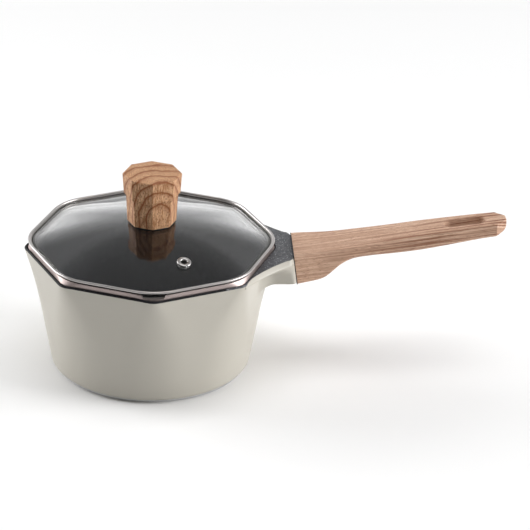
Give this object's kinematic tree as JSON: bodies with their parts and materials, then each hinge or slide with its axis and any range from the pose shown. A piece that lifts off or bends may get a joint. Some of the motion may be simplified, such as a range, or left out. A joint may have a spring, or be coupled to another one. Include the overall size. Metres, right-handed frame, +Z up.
{
  "type": "saucepan with glass lid",
  "caption": "Octagonal cast saucepan with a bridge to a wood-look stick handle, and a domed glass lid with a steel pouring band, steam vent and octagonal knob.",
  "frame": {"origin": "centre of the underside of the base", "axes": "+Z up through the knob, +X along the handle, corners of the octagon at 0, 45, 90 degrees and so on"},
  "size_m": [0.3763, 0.1986, 0.161],
  "materials": {
    "cream_enamel": "satin cream paint over the casting, dark speckled nonstick coating on the rim, the inside and the bridge's top",
    "base_steel": "turned",
    "black_silicone": "matt",
    "handle_wood": "fine straight grain, matt",
    "knob_wood": "curved grain, matt",
    "fastener_steel": "zinc plated",
    "clear_glass": "clear tempered",
    "polished_steel": "polished stainless steel",
    "insert_brass": "machined"
  },
  "bodies": {
    "pan": {"pan_body": "cream_enamel", "induction_plate": "base_steel", "handle_gasket": "black_silicone", "handle_grip": "handle_wood", "handle_bolt": "fastener_steel", "handle_washer": "fastener_steel", "handle_spring_washer": "fastener_steel"},
    "lid": {"lid_glass": "clear_glass", "lid_rim_band": "polished_steel", "vent_eyelet": "polished_steel", "vent_backing_ring": "polished_steel", "knob": "knob_wood", "knob_insert": "insert_brass", "knob_gasket": "black_silicone", "knob_seal": "black_silicone", "knob_washer": "fastener_steel", "knob_screw": "fastener_steel"}
  },
  "joints": [
    {"name": "lid_lift", "type": "slide", "parent": "pan", "child": "lid", "axis": [0, 0, 1], "range_m": [0, 0.15]}
  ]
}
